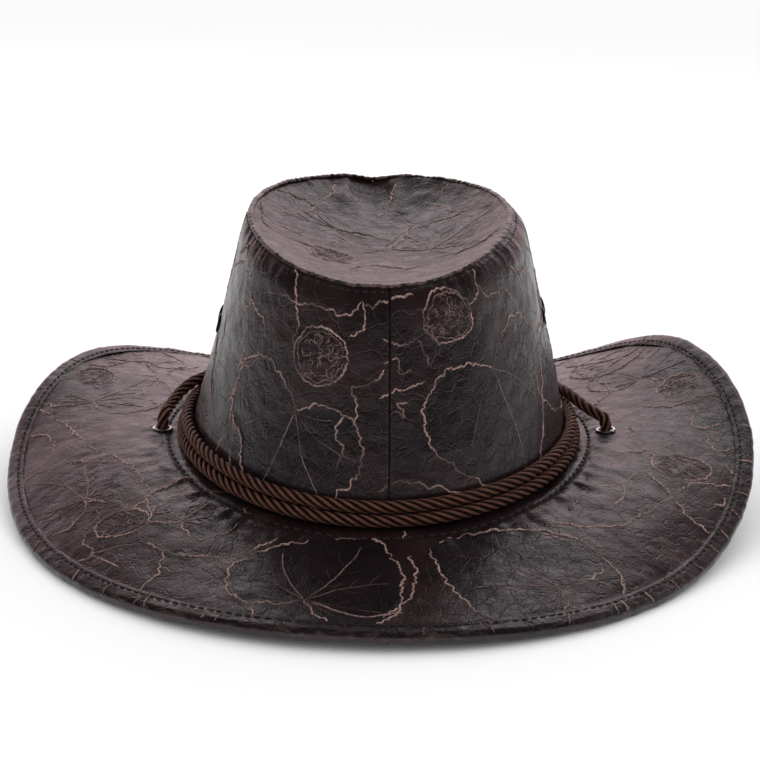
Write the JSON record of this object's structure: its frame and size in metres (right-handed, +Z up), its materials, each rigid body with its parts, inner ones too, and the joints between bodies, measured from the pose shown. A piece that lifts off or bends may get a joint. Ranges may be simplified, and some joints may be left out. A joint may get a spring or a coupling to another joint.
{
  "type": "cowboy hat",
  "caption": "Western hat in dark embossed leather with a dished crown, rolled brim, doubled rope band and chin cord with a sliding bead.",
  "frame": {"origin": "middle of the hat's footprint on the surface it stands on, at the lowest points of the brim", "axes": "+Z up, +Y to the wearer's front (the rope band is doubled round the back, at -Y), +X to the wearer's right"},
  "size_m": [0.3288, 0.3642, 0.1341],
  "materials": {
    "embossed_leather": "semi-gloss embossed faux leather, dark plum brown with tan ridge lines",
    "under_brim_leather": "plain grained faux leather, satin",
    "lining_cloth": "woven lining, satin",
    "sweatband_leather": "smooth sweatband, satin",
    "stiffener": "fibre board",
    "spring_wire": "drawn wire",
    "twisted_cord": "twisted satin rope",
    "bright_eyelet": "nickel-plated",
    "dark_vent": "black lacquered",
    "bead": "stained, polished"
  },
  "bodies": {
    "hat": {"crown_panel_left": "embossed_leather", "crown_panel_right": "embossed_leather", "crown_tip": "embossed_leather", "crown_tip_welt": "embossed_leather", "crown_lining_side": "lining_cloth", "crown_lining_tip": "lining_cloth", "sweatband": "sweatband_leather", "brim_upper": "embossed_leather", "brim_core": "stiffener", "brim_lower": "under_brim_leather", "brim_edge_wire": "spring_wire", "brim_edge_binding": "embossed_leather", "brim_eyelet_left": "bright_eyelet", "brim_eyelet_right": "bright_eyelet", "brim_eyelet_washer_left": "bright_eyelet", "brim_eyelet_washer_right": "bright_eyelet", "vent_left_front": "dark_vent", "vent_left_rear": "dark_vent", "vent_right_front": "dark_vent", "vent_right_rear": "dark_vent", "vent_washer_left_front": "dark_vent", "vent_washer_left_rear": "dark_vent", "vent_washer_right_front": "dark_vent", "vent_washer_right_rear": "dark_vent", "band_cord_back": "twisted_cord", "band_cord_front": "twisted_cord", "chin_cord_left": "twisted_cord", "chin_cord_right": "twisted_cord", "chin_cord_knot_left": "twisted_cord", "chin_cord_knot_right": "twisted_cord"},
    "slider": {"slider_bead": "bead"}
  },
  "joints": [
    {"name": "bead_slide", "type": "slide", "parent": "hat", "child": "slider", "axis": [0, 1, 0], "range_m": [-0.03, 0.026]}
  ]
}
